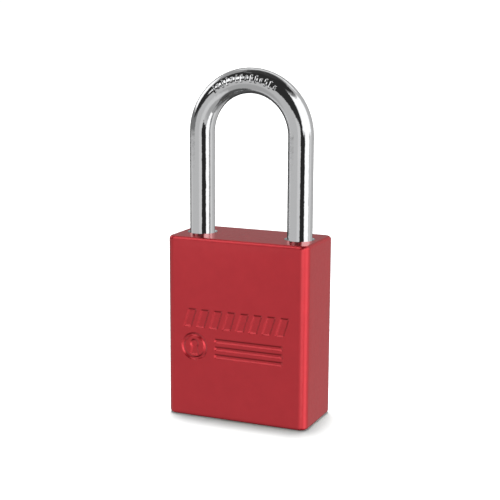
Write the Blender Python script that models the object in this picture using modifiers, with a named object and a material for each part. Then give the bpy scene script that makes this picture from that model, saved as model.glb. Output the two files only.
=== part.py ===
"""Keyed safety padlock: anodised aluminium block, round steel shackle, two locking balls and a
pin tumbler cylinder that is loaded from below.

Frame: X across the front, +Y to the back, +Z up, origin at the middle of the base.
Rest pose: shackle shut, balls out in its notches, every pin stack parted at the shear line.
A quarter turn of the plug turns the actuator, draws both balls in and frees the shackle to rise.
"""
import math

import bmesh
import bpy
from mathutils import Matrix, Vector

MM = 0.001

# Body block
BODY_W = 38.1 * MM
BODY_T = 18.5 * MM
BODY_H = 46.8 * MM
EDGE_R = 2.1 * MM
RIM_R = 0.9 * MM

# Shackle
WIRE_R = 3.175 * MM
LEG_X = 13.4 * MM
OVERALL_H = 88.9 * MM
TOE_DEPTH = 10.6 * MM
HEEL_DEPTH = 21.8 * MM
LIFT = 10.9 * MM
LEG_TIP = 0.7 * MM
LEG_TIP_SCALE = 0.8
WIRE_RESOLUTION = 10
CROWN_STEPS = 20

# Locking balls
BALL_R = 2.778 * MM
BALL_Z = 41.1 * MM
BALL_BITE = 1.4 * MM
BALL_GAP = 0.15 * MM
TOE_BALL_TRAVEL = 3.6 * MM
HEEL_BALL_TRAVEL = 0.9 * MM
PLUG_TURN = math.radians(90)

# Bores in the body
GAP = 0.3 * MM
LEG_HOLE_R = 3.4 * MM
LEG_HOLE_LEAD = 0.45 * MM
HEEL_HOLE_Z = 8.2 * MM
TOE_HOLE_Z = 29.0 * MM
CROSS_HOLE_R = 2.95 * MM
POCKET_CLEAR = 0.25 * MM
POCKET_Z = 26.1 * MM
CLIP_BORE_R = 6.7 * MM
CLIP_BORE_Z = 28.6 * MM
ACTUATOR_BORE_R = 6.1 * MM
ACTUATOR_BORE_Z = 44.3 * MM
SCREW_HOLE_R = 1.75 * MM

# Cylinder shell, a round barrel with a pin housing on its toe side
SHELL_R = 6.9 * MM
SHELL_Z0 = 0.3 * MM
SHELL_Z1 = 25.8 * MM
HOUSING_HALF = 3.7 * MM
HOUSING_END_X = 12.3 * MM
HOUSING_FLAT_X = 14.6 * MM
HOUSING_FLAT_Z = (1.0 * MM, 22.2 * MM)
SHELL_BORE_R = 5.7 * MM

# Plug
PLUG_R = 5.5 * MM
PLUG_Z0 = 0.45 * MM
PLUG_Z1 = 28.3 * MM
PLUG_NECK_R = 4.4 * MM
PLUG_NECK_Z = (25.95 * MM, 26.95 * MM)
KEYWAY_Z = 23.2 * MM
KEYWAY_HALF = 0.8 * MM
KEYWAY_WARD = 0.3 * MM
KEYWAY_STEPS = (-6.5 * MM, -3.0 * MM, 0.0, 3.2 * MM)
TAIL_SLOT_X = 3.4 * MM
TAIL_SLOT_Y = 1.1 * MM
TAIL_SLOT_Z = 25.9 * MM

# Pin stacks, along X, one above the other
PIN_COUNT = 5
PIN_Z0 = 4.6 * MM
PIN_PITCH = 3.8 * MM
PIN_R = 1.4 * MM
PIN_BORE_R = 1.6 * MM
PIN_BORE_X0 = -0.9 * MM
SHEAR_GAP = 0.12 * MM
KEY_PIN_LENGTHS = (3.4 * MM, 4.4 * MM, 3.8 * MM, 4.8 * MM, 4.0 * MM)
DRIVER_PIN_LENGTH = 4.5 * MM
KEY_PIN_NOSE = 0.8 * MM
PIN_EDGE = 0.2 * MM

# Actuator and tailpiece
ACTUATOR_R = 5.9 * MM
ACTUATOR_Z0 = 28.9 * MM
CAM_HALF_H = 2.9 * MM
CAM_STEPS = 60
TAIL_Z0 = 26.2 * MM
TAIL_Z1 = 32.9 * MM

# Small parts
CLIP_R = 6.3 * MM
CLIP_T = 0.6 * MM
CLIP_Z0 = 26.15 * MM
CLIP_MOUTH = math.radians(70)
SCREW_R = 1.35 * MM
SCREW_HEAD_R = 2.6 * MM
SCREW_HEAD_H = 1.8 * MM
SCREW_Z0 = 22.7 * MM
COVER_T = 0.5 * MM
COVER_HALF = 1.9 * MM
COVER_Z = (1.3 * MM, 21.9 * MM)
SHACKLE_COIL_R = 2.3 * MM
SHACKLE_COIL_WIRE_R = 0.4 * MM
SHACKLE_COIL_TURNS = 7
PIN_COIL_R = 1.1 * MM
PIN_COIL_WIRE_R = 0.16 * MM
PIN_COIL_TURNS = 4
COIL_STEPS = 10
COIL_RESOLUTION = 1

# Debossed emblem on the front: a row of slanted bars over a keyhole badge and three plain rules
MARK_DEPTH = 0.25 * MM
BAR_COUNT = 8
BAR_W = 2.0 * MM
BAR_H = 4.5 * MM
BAR_SLANT = 1.4 * MM
BAR_PITCH = 3.6 * MM
BAR_ROW_Z = 26.1 * MM
BADGE_X = -11.4 * MM
BADGE_Z = 18.7 * MM
BADGE_R = 3.4 * MM
BADGE_RING = 0.6 * MM
KEYHOLE_EYE_R = 1.02 * MM
KEYHOLE_SKIRT_HALF = 1.12 * MM
KEYHOLE_SKIRT_DROP = 2.1 * MM
KEYHOLE_STEPS = 10
RULE_X = (-5.6 * MM, 12.6 * MM)
RULE_H = 0.8 * MM
RULE_PITCH = 2.0 * MM

# Finishes: colour, roughness; every piece is metal
RED_ANODISED = ((0.43, 0.032, 0.045), 0.38)
CHROME = ((0.72, 0.72, 0.73), 0.12)
BRASS = ((0.66, 0.49, 0.22), 0.35)
PIN_BRASS = ((0.72, 0.5, 0.2), 0.25)
STEEL = ((0.52, 0.52, 0.52), 0.3)
BALL_STEEL = ((0.6, 0.6, 0.62), 0.15)
ZINC = ((0.6, 0.58, 0.54), 0.4)

ROUND_SIDES = 32
BORE_SIDES = 24
SMALL_SIDES = 16
CUT_PAST = 1.0 * MM
MERGE = 0.00001

BALL_X = LEG_X - WIRE_R + BALL_BITE - BALL_R
ALONG_X = Matrix.Rotation(math.radians(90), 4, "Y")
ALONG_Y = Matrix.Rotation(math.radians(90), 4, "X")


# ---------------------------------------------------------------- scene, materials, placing

def clear_scene():
    for obj in list(bpy.data.objects):
        bpy.data.objects.remove(obj, do_unlink=True)


def new_collection(name):
    collection = bpy.data.collections.new(name)
    bpy.context.scene.collection.children.link(collection)
    return collection


def metal(name, finish):
    colour, roughness = finish
    material = bpy.data.materials.new(name)
    material.use_nodes = True
    shader = material.node_tree.nodes["Principled BSDF"]
    shader.inputs["Base Color"].default_value = (*colour, 1.0)
    shader.inputs["Roughness"].default_value = roughness
    shader.inputs["Metallic"].default_value = 1.0
    material.diffuse_color = (*colour, 1.0)
    return material


def add_part(name, mesh, finish, origin=(0.0, 0.0, 0.0)):
    """Put a mesh in the padlock collection, with its origin on its own axis."""
    mesh.materials.append(metal(f"{name}_metal", finish))
    mesh.shade_smooth()
    mesh.set_sharp_from_angle(angle=math.radians(35))
    obj = bpy.data.objects.new(name, mesh)
    obj.location = origin
    parts.objects.link(obj)
    return obj


def add_cutter(name, mesh):
    obj = bpy.data.objects.new(name, mesh)
    obj.hide_render = True
    obj.display_type = "WIRE"
    cutters.objects.link(obj)
    return obj


def cut(obj, mesh, label, operation="DIFFERENCE"):
    """Cut a part with a mesh given in world coordinates, or join the mesh to it."""
    boolean = obj.modifiers.new(label, "BOOLEAN")
    boolean.operation = operation
    boolean.object = add_cutter(f"{obj.name}.{label}", mesh)


# ---------------------------------------------------------------- basic shapes

def mesh_from(bm, name):
    mesh = bpy.data.meshes.new(name)
    bm.to_mesh(mesh)
    bm.free()
    return mesh


def rod(radius, low, high, centre=(0.0, 0.0), sides=BORE_SIDES, turn=None, top_radius=None):
    """A cylinder or cone along Z from low to high; turn lays it along another axis."""
    bm = bmesh.new()
    bmesh.ops.create_cone(
        bm,
        cap_ends=True,
        segments=sides,
        radius1=radius,
        radius2=radius if top_radius is None else top_radius,
        depth=high - low,
        matrix=Matrix.Translation((centre[0], centre[1], (low + high) / 2)),
    )
    if turn is not None:
        bmesh.ops.transform(bm, matrix=turn, verts=bm.verts)
    return mesh_from(bm, "rod")


def block(low, high):
    """A box between two corners."""
    size = Vector(high) - Vector(low)
    centre = (Vector(high) + Vector(low)) / 2
    bm = bmesh.new()
    bmesh.ops.create_cube(bm, size=1.0, matrix=Matrix.Translation(centre) @ Matrix.Diagonal((*size, 1.0)))
    return mesh_from(bm, "block")


def turned(profile, sides=ROUND_SIDES, turn=None, shift=(0.0, 0.0, 0.0)):
    """A profile of (radius, height) points, down the outer side, spun round Z by a Screw modifier."""
    mesh = bpy.data.meshes.new("profile")
    count = len(profile)
    mesh.from_pydata([(r, 0.0, z) for r, z in profile], [(i, i + 1) for i in range(count - 1)], [])
    obj = bpy.data.objects.new("profile", mesh)
    bpy.context.scene.collection.objects.link(obj)
    screw = obj.modifiers.new("spin", "SCREW")
    screw.steps = sides
    screw.render_steps = sides
    screw.use_merge_vertices = True
    screw.merge_threshold = MERGE
    result = evaluated_mesh(obj)
    if turn is not None:
        result.transform(turn)
    result.transform(Matrix.Translation(shift))
    return result


def evaluated_mesh(obj):
    """The closed mesh of an object after its modifiers; the object is then removed."""
    bpy.context.view_layer.update()
    evaluated = obj.evaluated_get(bpy.context.evaluated_depsgraph_get())
    mesh = bpy.data.meshes.new_from_object(evaluated)
    mesh.transform(obj.matrix_world)
    bpy.data.objects.remove(obj, do_unlink=True)
    bm = bmesh.new()
    bm.from_mesh(mesh)
    bmesh.ops.remove_doubles(bm, verts=bm.verts, dist=MERGE)
    bm.to_mesh(mesh)
    bm.free()
    return mesh


def wire(points, radius, resolution, tip_scale=1.0):
    """A round wire through the points, welded shut at its ends; tip_scale narrows its end points."""
    curve = bpy.data.curves.new("wire", "CURVE")
    curve.dimensions = "3D"
    curve.bevel_depth = radius
    curve.bevel_resolution = resolution
    curve.use_fill_caps = True
    spline = curve.splines.new("POLY")
    spline.points.add(len(points) - 1)
    for place, point in zip(spline.points, points):
        place.co = (*point, 1.0)
    spline.points[0].radius = tip_scale
    spline.points[-1].radius = tip_scale
    obj = bpy.data.objects.new("wire", curve)
    bpy.context.scene.collection.objects.link(obj)
    return evaluated_mesh(obj)


def capsule(start, end, radius, arc_steps=7):
    """The space a ball sweeps between two points."""
    axis = Vector(end) - Vector(start)
    half = axis.length / 2
    profile = []
    for sign, angles in ((1, range(arc_steps + 1)), (-1, range(arc_steps, -1, -1))):
        for i in angles:
            angle = math.radians(90) * i / arc_steps
            profile.append((radius * math.sin(angle), sign * (half + radius * math.cos(angle))))
    turn = Vector((0, 0, -1)).rotation_difference(axis.normalized()).to_matrix().to_4x4()
    return turned(profile, BORE_SIDES, turn, (Vector(start) + Vector(end)) / 2)


def coil(length, radius, wire_radius, turns):
    """A compression spring from height 0 to its length."""
    reach = length - 2 * wire_radius
    count = turns * COIL_STEPS
    points = []
    for i in range(count + 1):
        angle = 2 * math.pi * i / COIL_STEPS
        points.append((radius * math.cos(angle), radius * math.sin(angle), wire_radius + reach * i / count))
    return wire(points, wire_radius, COIL_RESOLUTION)


def prism(outline, low, high):
    """A flat outline of (x, y) points, raised from low to high."""
    bm = bmesh.new()
    face = bm.faces.new([bm.verts.new((x, y, low)) for x, y in outline])
    raised = bmesh.ops.extrude_face_region(bm, geom=[face])["geom"]
    bmesh.ops.translate(
        bm,
        vec=(0.0, 0.0, high - low),
        verts=[item for item in raised if isinstance(item, bmesh.types.BMVert)],
    )
    bmesh.ops.recalc_face_normals(bm, faces=bm.faces)
    return mesh_from(bm, "prism")


def joined(meshes):
    """Separate closed shapes in one mesh, for a cutter that makes several pockets."""
    bm = bmesh.new()
    for mesh in meshes:
        bm.from_mesh(mesh)
    return mesh_from(bm, "joined")


# ---------------------------------------------------------------- body

def rounded_body():
    """The block, with its four upright edges well rounded and its rims broken."""
    bm = bmesh.new()
    bmesh.ops.create_cube(
        bm,
        size=1.0,
        matrix=Matrix.Translation((0, 0, BODY_H / 2)) @ Matrix.Diagonal((BODY_W, BODY_T, BODY_H, 1.0)),
    )
    upright = [e for e in bm.edges if abs(e.verts[0].co.z - e.verts[1].co.z) > BODY_H / 2]
    bmesh.ops.bevel(bm, geom=upright, offset=EDGE_R, segments=6, profile=0.5, affect="EDGES")
    rims = [e for e in bm.edges if abs(e.verts[0].co.z - e.verts[1].co.z) < MERGE]
    bmesh.ops.bevel(bm, geom=rims, offset=RIM_R, segments=3, profile=0.5, affect="EDGES")
    return mesh_from(bm, "rounded_body")


def slanted_bar(x, z):
    """One bar of the emblem's row, leaning to the right."""
    low = [(x, z - BAR_H / 2), (x + BAR_W, z - BAR_H / 2)]
    high = [(x + BAR_W + BAR_SLANT, z + BAR_H / 2), (x + BAR_SLANT, z + BAR_H / 2)]
    return prism(low + high, -MARK_DEPTH, CUT_PAST)


def ring_prism(x, z, outer, inner):
    """A flat ring, as the outer disc with its core taken out by a thin turned profile."""
    profile = [
        (inner, CUT_PAST), (outer, CUT_PAST), (outer, -MARK_DEPTH), (inner, -MARK_DEPTH), (inner, CUT_PAST),
    ]
    return turned(profile, BORE_SIDES, None, (x, z, 0.0))


def keyhole(x, z):
    """A keyhole: a round eye over a flared skirt."""
    eye_z = z + KEYHOLE_EYE_R * 0.7
    outline = []
    for i in range(KEYHOLE_STEPS + 1):
        angle = math.radians(-55 + 290 * i / KEYHOLE_STEPS)
        outline.append((x + KEYHOLE_EYE_R * math.cos(angle), eye_z + KEYHOLE_EYE_R * math.sin(angle)))
    outline.append((x - KEYHOLE_SKIRT_HALF, z - KEYHOLE_SKIRT_DROP))
    outline.append((x + KEYHOLE_SKIRT_HALF, z - KEYHOLE_SKIRT_DROP))
    return prism(outline, -MARK_DEPTH, CUT_PAST)


def emblem():
    """Cutter for the debossed marks, laid out flat and then stood against the front face."""
    row_w = (BAR_COUNT - 1) * BAR_PITCH + BAR_W + BAR_SLANT
    shapes = [slanted_bar(i * BAR_PITCH - row_w / 2, BAR_ROW_Z) for i in range(BAR_COUNT)]
    shapes.append(ring_prism(BADGE_X, BADGE_Z, BADGE_R, BADGE_R - BADGE_RING))
    shapes.append(keyhole(BADGE_X, BADGE_Z))
    for row in (-1, 0, 1):
        z = BADGE_Z + row * RULE_PITCH
        corners = [(x, z + side * RULE_H / 2) for side, x in (
            (-1, RULE_X[0]), (-1, RULE_X[1]), (1, RULE_X[1]), (1, RULE_X[0]),
        )]
        shapes.append(prism(corners, -MARK_DEPTH, CUT_PAST))
    mesh = joined(shapes)
    mesh.transform(Matrix.Translation((0.0, -BODY_T / 2, 0.0)) @ ALONG_Y)
    return mesh


def housing_shapes(grow, low, high):
    """The cylinder's outline: round barrel, straight neck and round end, grown by a clearance."""
    half = HOUSING_HALF + grow
    return {
        "barrel": rod(SHELL_R + grow, low, high, sides=ROUND_SIDES),
        "neck": block((0.0, -half, low), (HOUSING_END_X, half, high)),
        "end": rod(half, low, high, (HOUSING_END_X, 0.0)),
    }


def make_body():
    body = add_part("padlock_body", rounded_body(), RED_ANODISED)
    for label, mesh in housing_shapes(POCKET_CLEAR, -CUT_PAST, POCKET_Z).items():
        cut(body, mesh, f"pocket_{label}")
    cut(body, rod(CLIP_BORE_R, POCKET_Z - CUT_PAST, CLIP_BORE_Z, sides=ROUND_SIDES), "clip_bore")
    cut(body, rod(ACTUATOR_BORE_R, POCKET_Z, ACTUATOR_BORE_Z, sides=ROUND_SIDES), "actuator_bore")
    cross_x = LEG_X - WIRE_R / 2
    cut(body, rod(CROSS_HOLE_R, -cross_x, cross_x, (-BALL_Z, 0.0), turn=ALONG_X), "cross_hole")
    cut(body, rod(SCREW_HOLE_R, POCKET_Z - CUT_PAST, TOE_HOLE_Z + CUT_PAST, (LEG_X, 0.0)), "screw_hole")
    for label, x, low in (("heel", -LEG_X, HEEL_HOLE_Z), ("toe", LEG_X, TOE_HOLE_Z)):
        cut(body, rod(LEG_HOLE_R, low, BODY_H + CUT_PAST, (x, 0.0)), f"{label}_hole")
        lead_r = LEG_HOLE_R + 2 * LEG_HOLE_LEAD
        lead = rod(LEG_HOLE_R, BODY_H - LEG_HOLE_LEAD, BODY_H + LEG_HOLE_LEAD, (x, 0.0), top_radius=lead_r)
        cut(body, lead, f"{label}_lead")
    cut(body, emblem(), "emblem")


# ---------------------------------------------------------------- shackle, springs, balls

def shackle_points():
    """Heel tip, up the heel leg, over the crown and down to the toe tip."""
    crown_z = OVERALL_H - WIRE_R - LEG_X
    heel_z = BODY_H - HEEL_DEPTH
    toe_z = BODY_H - TOE_DEPTH
    points = [(-LEG_X, 0.0, heel_z), (-LEG_X, 0.0, heel_z + LEG_TIP)]
    for i in range(CROWN_STEPS + 1):
        angle = math.pi * (1 - i / CROWN_STEPS)
        points.append((LEG_X * math.cos(angle), 0.0, crown_z + LEG_X * math.sin(angle)))
    points += [(LEG_X, 0.0, toe_z + LEG_TIP), (LEG_X, 0.0, toe_z)]
    return points


def make_shackle():
    """The shackle, with the ball pockets that its own rise and the balls' travel sweep out."""
    mesh = wire(shackle_points(), WIRE_R, WIRE_RESOLUTION, tip_scale=LEG_TIP_SCALE)
    mesh.transform(Matrix.Translation((LEG_X, 0.0, -BODY_H)))
    shackle = add_part("shackle", mesh, CHROME, (-LEG_X, 0.0, BODY_H))
    for label, side, travel in (("heel", -1, HEEL_BALL_TRAVEL), ("toe", 1, TOE_BALL_TRAVEL)):
        shut = (side * BALL_X, 0.0, BALL_Z)
        risen = (side * (BALL_X - travel), 0.0, BALL_Z - LIFT)
        cut(shackle, capsule(shut, risen, BALL_R + BALL_GAP), f"{label}_notch")
    ring_r = LEG_X - BALL_X + HEEL_BALL_TRAVEL
    groove = [
        (ring_r + (BALL_R + BALL_GAP) * math.cos(a), (BALL_R + BALL_GAP) * math.sin(a))
        for a in (2 * math.pi * (0.5 - i / BORE_SIDES) for i in range(BORE_SIDES + 1))
    ]
    cut(shackle, turned(groove, BORE_SIDES, None, (-LEG_X, 0.0, BALL_Z - LIFT)), "heel_groove")


def make_balls():
    for label, side in (("heel", -1), ("toe", 1)):
        bm = bmesh.new()
        bmesh.ops.create_uvsphere(bm, u_segments=SMALL_SIDES, v_segments=10, radius=BALL_R)
        add_part(f"{label}_ball", mesh_from(bm, "ball"), BALL_STEEL, (side * BALL_X, 0.0, BALL_Z))


def make_shackle_spring():
    low = HEEL_HOLE_Z + GAP
    length = BODY_H - HEEL_DEPTH - GAP - low
    mesh = coil(length, SHACKLE_COIL_R, SHACKLE_COIL_WIRE_R, SHACKLE_COIL_TURNS)
    add_part("shackle_spring", mesh, STEEL, (-LEG_X, 0.0, low))


# ---------------------------------------------------------------- actuator and tailpiece

def ball_limit(azimuth, turn, side_azimuth, travel):
    """How far out a ray may reach before it meets a ball, with the actuator turned by a given angle."""
    centre = BALL_X - travel * turn / PLUG_TURN
    reach = BALL_R + BALL_GAP
    off = azimuth + turn - side_azimuth
    across = centre * math.sin(off)
    if abs(across) >= reach or math.cos(off) <= 0:
        return ACTUATOR_R
    return centre * math.cos(off) - math.sqrt(reach * reach - across * across)


def cam_radius(azimuth):
    """The cam keeps clear of both balls through the whole quarter turn."""
    limits = [ACTUATOR_R]
    for i in range(CAM_STEPS + 1):
        turn = PLUG_TURN * i / CAM_STEPS
        limits.append(ball_limit(azimuth, turn, 0.0, TOE_BALL_TRAVEL))
        limits.append(ball_limit(azimuth, turn, math.pi, HEEL_BALL_TRAVEL))
    return min(limits)


def make_actuator():
    """A round stem, slotted below for the tailpiece, with a snail cam above it at the balls' height."""
    cam_z0 = BALL_Z - CAM_HALF_H
    mesh = rod(ACTUATOR_R, ACTUATOR_Z0, cam_z0, sides=CAM_STEPS)
    actuator = add_part("actuator", mesh, ZINC)
    outline = []
    for i in range(CAM_STEPS):
        azimuth = 2 * math.pi * i / CAM_STEPS
        radius = cam_radius(azimuth)
        outline.append((radius * math.cos(azimuth), radius * math.sin(azimuth)))
    cut(actuator, prism(outline, cam_z0 - CUT_PAST / 2, BALL_Z + CAM_HALF_H), "cam", "UNION")
    slot_z0 = ACTUATOR_Z0 - CUT_PAST
    slot = block((-TAIL_SLOT_X, -TAIL_SLOT_Y, slot_z0), (TAIL_SLOT_X, TAIL_SLOT_Y, TAIL_Z1 + GAP))
    cut(actuator, slot, "tail_slot")


def make_tailpiece():
    half_x = TAIL_SLOT_X - GAP
    half_y = TAIL_SLOT_Y - GAP
    mesh = block((-half_x, -half_y, TAIL_Z0), (half_x, half_y, TAIL_Z1))
    tailpiece = add_part("tailpiece", mesh, STEEL)
    bevel = tailpiece.modifiers.new("edges", "BEVEL")
    bevel.width = GAP
    bevel.segments = 1


# ---------------------------------------------------------------- cylinder

def pin_height(index):
    return PIN_Z0 + PIN_PITCH * index


def pin_bore(index, low, high):
    """A pin chamber's cutter, along X at its stack's height."""
    return rod(PIN_BORE_R, low, high, (-pin_height(index), 0.0), sides=SMALL_SIDES, turn=ALONG_X)


def make_shell():
    """The cylinder's shell: barrel and pin housing in one, bored for the plug and the pin stacks."""
    shapes = housing_shapes(0.0, SHELL_Z0, SHELL_Z1)
    shell = add_part("cylinder_shell", shapes["barrel"], BRASS)
    cut(shell, shapes["neck"], "neck", "UNION")
    cut(shell, shapes["end"], "end", "UNION")
    flat = block(
        (HOUSING_FLAT_X, -SHELL_R, HOUSING_FLAT_Z[0]),
        (HOUSING_FLAT_X + SHELL_R, SHELL_R, HOUSING_FLAT_Z[1]),
    )
    cut(shell, flat, "housing_flat")
    cut(shell, rod(SHELL_BORE_R, -CUT_PAST, SHELL_Z1 + CUT_PAST, sides=ROUND_SIDES), "plug_bore")
    cut(shell, rod(SCREW_R + GAP, SCREW_Z0 - GAP, SHELL_Z1 + CUT_PAST, (LEG_X, 0.0)), "screw_thread")
    for index in range(PIN_COUNT):
        cut(shell, pin_bore(index, PLUG_NECK_R, HOUSING_FLAT_X + CUT_PAST), f"chamber_{index + 1}")


def make_plug():
    """The plug: keyed face below, five pin bores, a groove for its clip and a slot for the tailpiece."""
    face_break = 0.3 * MM
    profile = [
        (0.0, PLUG_Z1),
        (PLUG_R - face_break, PLUG_Z1),
        (PLUG_R - face_break, PLUG_NECK_Z[1]),
        (PLUG_NECK_R, PLUG_NECK_Z[1]),
        (PLUG_NECK_R, PLUG_NECK_Z[0]),
        (PLUG_R, PLUG_NECK_Z[0]),
        (PLUG_R, PLUG_Z0 + face_break),
        (PLUG_R - face_break, PLUG_Z0),
        (0.0, PLUG_Z0),
    ]
    plug = add_part("plug", turned(profile), BRASS)
    for step, (low, high) in enumerate(zip(KEYWAY_STEPS, KEYWAY_STEPS[1:])):
        shift = KEYWAY_WARD if step % 2 else -KEYWAY_WARD
        lap = GAP if step else 0.0
        way = block((low - lap, shift - KEYWAY_HALF, -CUT_PAST), (high, shift + KEYWAY_HALF, KEYWAY_Z))
        cut(plug, way, f"keyway_{step + 1}")
    for index in range(PIN_COUNT):
        cut(plug, pin_bore(index, PIN_BORE_X0, PLUG_R + CUT_PAST), f"pin_bore_{index + 1}")
    slot = block((-TAIL_SLOT_X, -TAIL_SLOT_Y, TAIL_SLOT_Z), (TAIL_SLOT_X, TAIL_SLOT_Y, PLUG_Z1 + CUT_PAST))
    cut(plug, slot, "tail_slot")


def pin_profile(length, nose):
    """A pin with a coned inner end and a slightly broken outer end, pointing along +Z."""
    half = length / 2
    return [
        (0.0, half),
        (PIN_R - PIN_EDGE, half),
        (PIN_R, half - PIN_EDGE),
        (PIN_R, -half + nose),
        (PIN_R - nose, -half),
        (0.0, -half),
    ]


def make_pins():
    """Five stacks: key pin in the plug, driver pin and spring in the housing."""
    driver_x0 = PLUG_R + SHEAR_GAP
    spring_x0 = driver_x0 + DRIVER_PIN_LENGTH + GAP
    for index, length in enumerate(KEY_PIN_LENGTHS):
        number = index + 1
        z = pin_height(index)
        key_x1 = PLUG_R - SHEAR_GAP
        key_pin = turned(pin_profile(length, KEY_PIN_NOSE), SMALL_SIDES, ALONG_X)
        add_part(f"key_pin_{number}", key_pin, PIN_BRASS, (key_x1 - length / 2, 0.0, z))
        driver_pin = turned(pin_profile(DRIVER_PIN_LENGTH, PIN_EDGE), SMALL_SIDES, ALONG_X)
        add_part(f"driver_pin_{number}", driver_pin, STEEL, (driver_x0 + DRIVER_PIN_LENGTH / 2, 0.0, z))
        spring = coil(HOUSING_FLAT_X - spring_x0, PIN_COIL_R, PIN_COIL_WIRE_R, PIN_COIL_TURNS)
        spring.transform(ALONG_X)
        add_part(f"pin_spring_{number}", spring, STEEL, (spring_x0, 0.0, z))


def make_spring_cover():
    low_x = HOUSING_FLAT_X + GAP
    mesh = block((low_x, -COVER_HALF, COVER_Z[0]), (low_x + COVER_T, COVER_HALF, COVER_Z[1]))
    add_part("spring_cover", mesh, BRASS)


def make_clip():
    """An open ring in the plug's groove, which keeps the plug in its shell."""
    inner = PLUG_NECK_R + GAP / 2
    steps = 28
    span = 2 * math.pi - CLIP_MOUTH
    angles = [CLIP_MOUTH / 2 + span * i / steps for i in range(steps + 1)]
    outline = [(CLIP_R * math.cos(a), CLIP_R * math.sin(a)) for a in angles]
    outline += [(inner * math.cos(a), inner * math.sin(a)) for a in reversed(angles)]
    mesh = prism(outline, CLIP_Z0, CLIP_Z0 + CLIP_T)
    add_part("plug_clip", mesh, STEEL)


def make_screw():
    """The screw at the bottom of the toe hole, which holds the cylinder in the body."""
    head_z0 = TOE_HOLE_Z + GAP
    head_z1 = head_z0 + SCREW_HEAD_H
    edge = 0.3 * MM
    profile = [
        (0.0, head_z1),
        (SCREW_HEAD_R - edge, head_z1),
        (SCREW_HEAD_R, head_z1 - edge),
        (SCREW_HEAD_R, head_z0),
        (SCREW_R, head_z0),
        (SCREW_R, SCREW_Z0 + edge),
        (SCREW_R - edge, SCREW_Z0),
        (0.0, SCREW_Z0),
    ]
    screw = add_part("cylinder_screw", turned(profile, BORE_SIDES), STEEL, (LEG_X, 0.0, 0.0))
    socket = rod(SCREW_HEAD_R / 2, head_z1 - SCREW_HEAD_H * 0.6, head_z1 + CUT_PAST, (LEG_X, 0.0), sides=6)
    cut(screw, socket, "hex_socket")


clear_scene()
parts = new_collection("safety_padlock")
cutters = new_collection("cutters")
make_body()
make_shackle()
make_balls()
make_shackle_spring()
make_actuator()
make_tailpiece()
make_shell()
make_plug()
make_pins()
make_spring_cover()
make_clip()
make_screw()
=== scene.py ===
"""Looks of the keyed safety padlock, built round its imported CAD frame.

Units are metres. The frame has X across the front, +Y to the back and +Z up. The shackle's long heel leg is
on the -X side and its short toe leg on the +X side. Studio azimuths are in degrees from the camera's side of
the lock, to the right, and elevations in degrees above the horizon.
"""
import math

import bmesh
import bpy
import numpy as np
from mathutils import Matrix, Vector


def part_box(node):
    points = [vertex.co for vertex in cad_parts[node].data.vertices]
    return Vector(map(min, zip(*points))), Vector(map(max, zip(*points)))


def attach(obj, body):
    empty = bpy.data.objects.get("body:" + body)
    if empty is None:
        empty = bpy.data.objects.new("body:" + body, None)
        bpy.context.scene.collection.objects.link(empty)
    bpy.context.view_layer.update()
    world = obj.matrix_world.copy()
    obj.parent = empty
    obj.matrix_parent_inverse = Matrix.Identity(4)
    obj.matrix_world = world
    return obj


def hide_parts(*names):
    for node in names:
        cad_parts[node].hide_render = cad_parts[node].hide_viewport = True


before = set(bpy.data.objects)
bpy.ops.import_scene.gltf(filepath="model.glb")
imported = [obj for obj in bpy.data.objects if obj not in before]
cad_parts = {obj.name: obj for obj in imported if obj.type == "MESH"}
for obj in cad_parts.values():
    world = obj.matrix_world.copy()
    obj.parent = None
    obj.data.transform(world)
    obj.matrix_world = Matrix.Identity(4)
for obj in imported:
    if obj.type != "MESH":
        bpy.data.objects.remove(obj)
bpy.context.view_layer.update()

MM = 0.001

# Camera, fitted to the lock's corners and legs
CAMERA_PLACE = (121.34 * MM, -281.66 * MM, 102.40 * MM)
CAMERA_YAW = math.radians(23.32)
CAMERA_PITCH = math.radians(10.97)
CAMERA_ROLL = math.radians(0.31)
CAMERA_LENS = 88.48
CAMERA_SENSOR = 36.0

# Body block
EDGE_R = 2.1 * MM
RIM_R = 0.9 * MM
EDGE_STEPS = 14
RIM_STEPS = 6
PLAIN_STEP = 2.4 * MM
FINE_STEP = 0.125 * MM
FINE_MARGIN = 0.5 * MM

# Bores in the body
LEG_X = 13.4 * MM
GAP = 0.3 * MM
LEG_HOLE_R = 3.4 * MM
LEG_HOLE_LEAD = 0.45 * MM
HEEL_HOLE_Z = 8.2 * MM
TOE_HOLE_Z = 29.0 * MM
CROSS_HOLE_R = 2.95 * MM
POCKET_CLEAR = 0.25 * MM
POCKET_Z = 26.1 * MM
CLIP_BORE_R = 6.7 * MM
CLIP_BORE_Z = 28.6 * MM
ACTUATOR_BORE_R = 6.1 * MM
ACTUATOR_BORE_Z = 44.3 * MM
SCREW_HOLE_R = 1.75 * MM

# Cylinder shell
SHELL_R = 6.9 * MM
SHELL_Z = (0.3 * MM, 25.8 * MM)
SHELL_CHAMFER = 0.25 * MM
SHELL_BORE_R = 5.7 * MM
HOUSING_HALF = 3.7 * MM
HOUSING_END_X = 12.3 * MM
HOUSING_FLAT_X = 14.6 * MM
HOUSING_FLAT_Z = (1.0 * MM, 22.2 * MM)

# Plug: (radius, height) up its side, from the dished face to the tail
PLUG_R = 5.5 * MM
PLUG_PROFILE = (
    (3.55, 0.65), (3.75, 0.6), (3.9, 0.47), (4.0, 0.45), (5.2, 0.45), (5.4, 0.54), (5.5, 0.75),
    (5.5, 25.85), (5.4, 25.95), (4.5, 25.95), (4.4, 26.05), (4.4, 26.85), (4.5, 26.95),
    (5.1, 26.95), (5.2, 27.05), (5.2, 28.15), (5.05, 28.3),
)
KEYWAY_Z = 23.2 * MM
KEYWAY_HALF = 0.8 * MM
KEYWAY_WARD = 0.3 * MM
KEYWAY_STEPS = (-6.5 * MM, -3.0 * MM, 0.0, 3.2 * MM)
TAIL_SLOT_X = 3.4 * MM
TAIL_SLOT_Y = 1.1 * MM
TAIL_SLOT_Z = 25.9 * MM

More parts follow.
